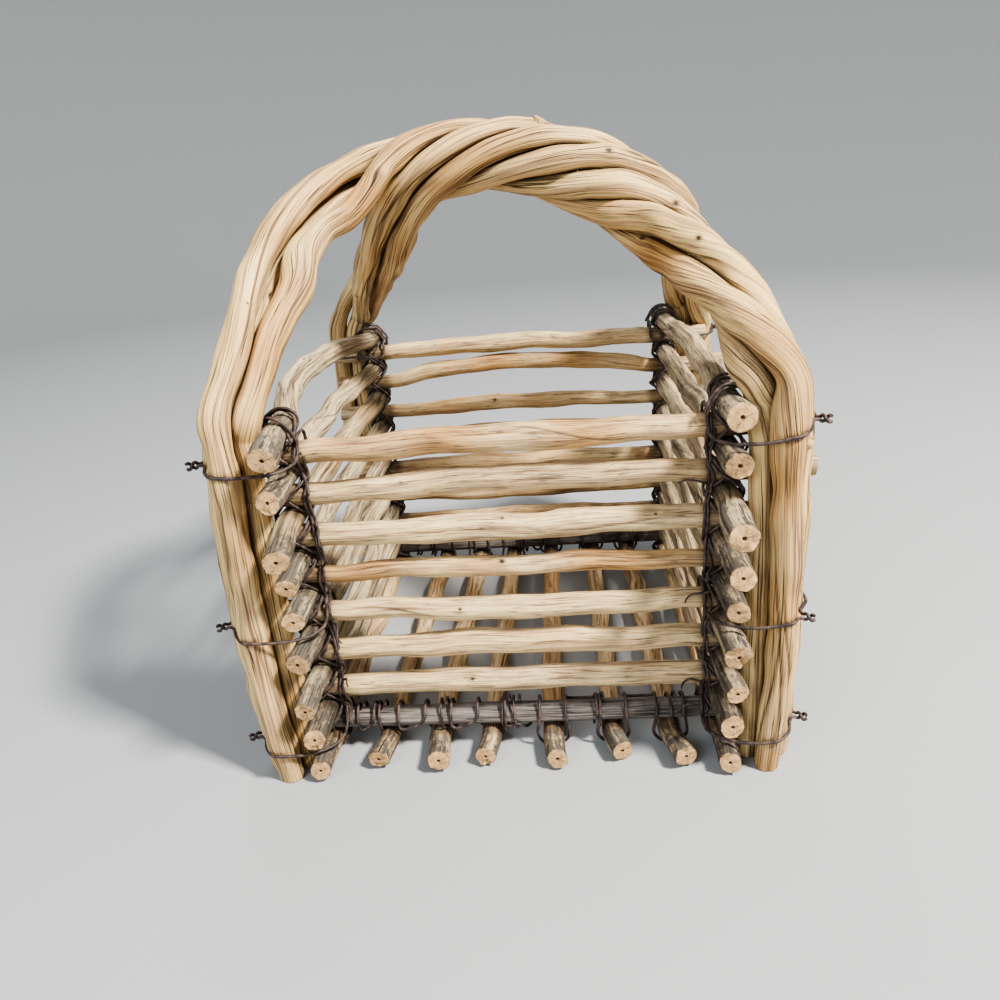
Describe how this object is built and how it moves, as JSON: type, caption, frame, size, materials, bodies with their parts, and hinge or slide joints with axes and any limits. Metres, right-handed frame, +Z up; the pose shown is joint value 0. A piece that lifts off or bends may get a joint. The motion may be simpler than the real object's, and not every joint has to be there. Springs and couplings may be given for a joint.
{
  "type": "mushroom foraging basket",
  "caption": "Open stick basket with log-cabin walls and a slatted floor, laced with dark wire, under a tall arched carrying handle twisted from vines.",
  "frame": {"origin": "on the ground, under the middle of the basket's bounding box", "axes": "+X to the right along the front wall, +Y to the back, +Z up"},
  "size_m": [0.3026, 0.3144, 0.3236],
  "materials": {
    "vine_wood": "satin",
    "rail_wood": "matte",
    "side_wood": "rough",
    "floor_wood": "matte",
    "base_wood": "rough",
    "rusted_wire": "rough"
  },
  "bodies": {
    "root": {"back_rail_1": "rail_wood", "back_rail_2": "rail_wood", "back_rail_3": "rail_wood", "back_rail_4": "rail_wood", "back_rail_5": "rail_wood", "back_rail_6": "rail_wood", "back_rail_7": "rail_wood", "back_rail_8": "base_wood", "back_vine_inner": "vine_wood", "back_vine_middle": "vine_wood", "back_vine_outer": "vine_wood", "corner_lacing_back_left": "rusted_wire", "corner_lacing_back_right": "rusted_wire", "corner_lacing_front_left": "rusted_wire", "corner_lacing_front_right": "rusted_wire", "floor_lacing_back": "rusted_wire", "floor_lacing_front": "rusted_wire", "floor_stick_1": "floor_wood", "floor_stick_2": "floor_wood", "floor_stick_3": "floor_wood", "floor_stick_4": "floor_wood", "floor_stick_5": "floor_wood", "floor_stick_6": "floor_wood", "floor_stick_7": "floor_wood", "floor_stick_8": "floor_wood", "front_rail_1": "rail_wood", "front_rail_2": "rail_wood", "front_rail_3": "rail_wood", "front_rail_4": "rail_wood", "front_rail_5": "rail_wood", "front_rail_6": "rail_wood", "front_rail_7": "rail_wood", "front_rail_8": "base_wood", "front_vine_inner": "vine_wood", "front_vine_middle": "vine_wood", "front_vine_outer": "vine_wood", "handle_tie_back_left_upper": "rusted_wire", "handle_tie_back_right_upper": "rusted_wire", "handle_tie_front_left_lower": "rusted_wire", "handle_tie_front_left_middle": "rusted_wire", "handle_tie_front_left_upper": "rusted_wire", "handle_tie_front_right_lower": "rusted_wire", "handle_tie_front_right_middle": "rusted_wire", "handle_tie_front_right_upper": "rusted_wire", "left_stick_1": "side_wood", "left_stick_2": "side_wood", "left_stick_3": "side_wood", "left_stick_4": "side_wood", "left_stick_5": "side_wood", "left_stick_6": "side_wood", "left_stick_7": "side_wood", "left_stick_8": "side_wood", "right_stick_1": "side_wood", "right_stick_2": "side_wood", "right_stick_3": "side_wood", "right_stick_4": "side_wood", "right_stick_5": "side_wood", "right_stick_6": "side_wood", "right_stick_7": "side_wood", "right_stick_8": "side_wood"}
  },
  "joints": []
}
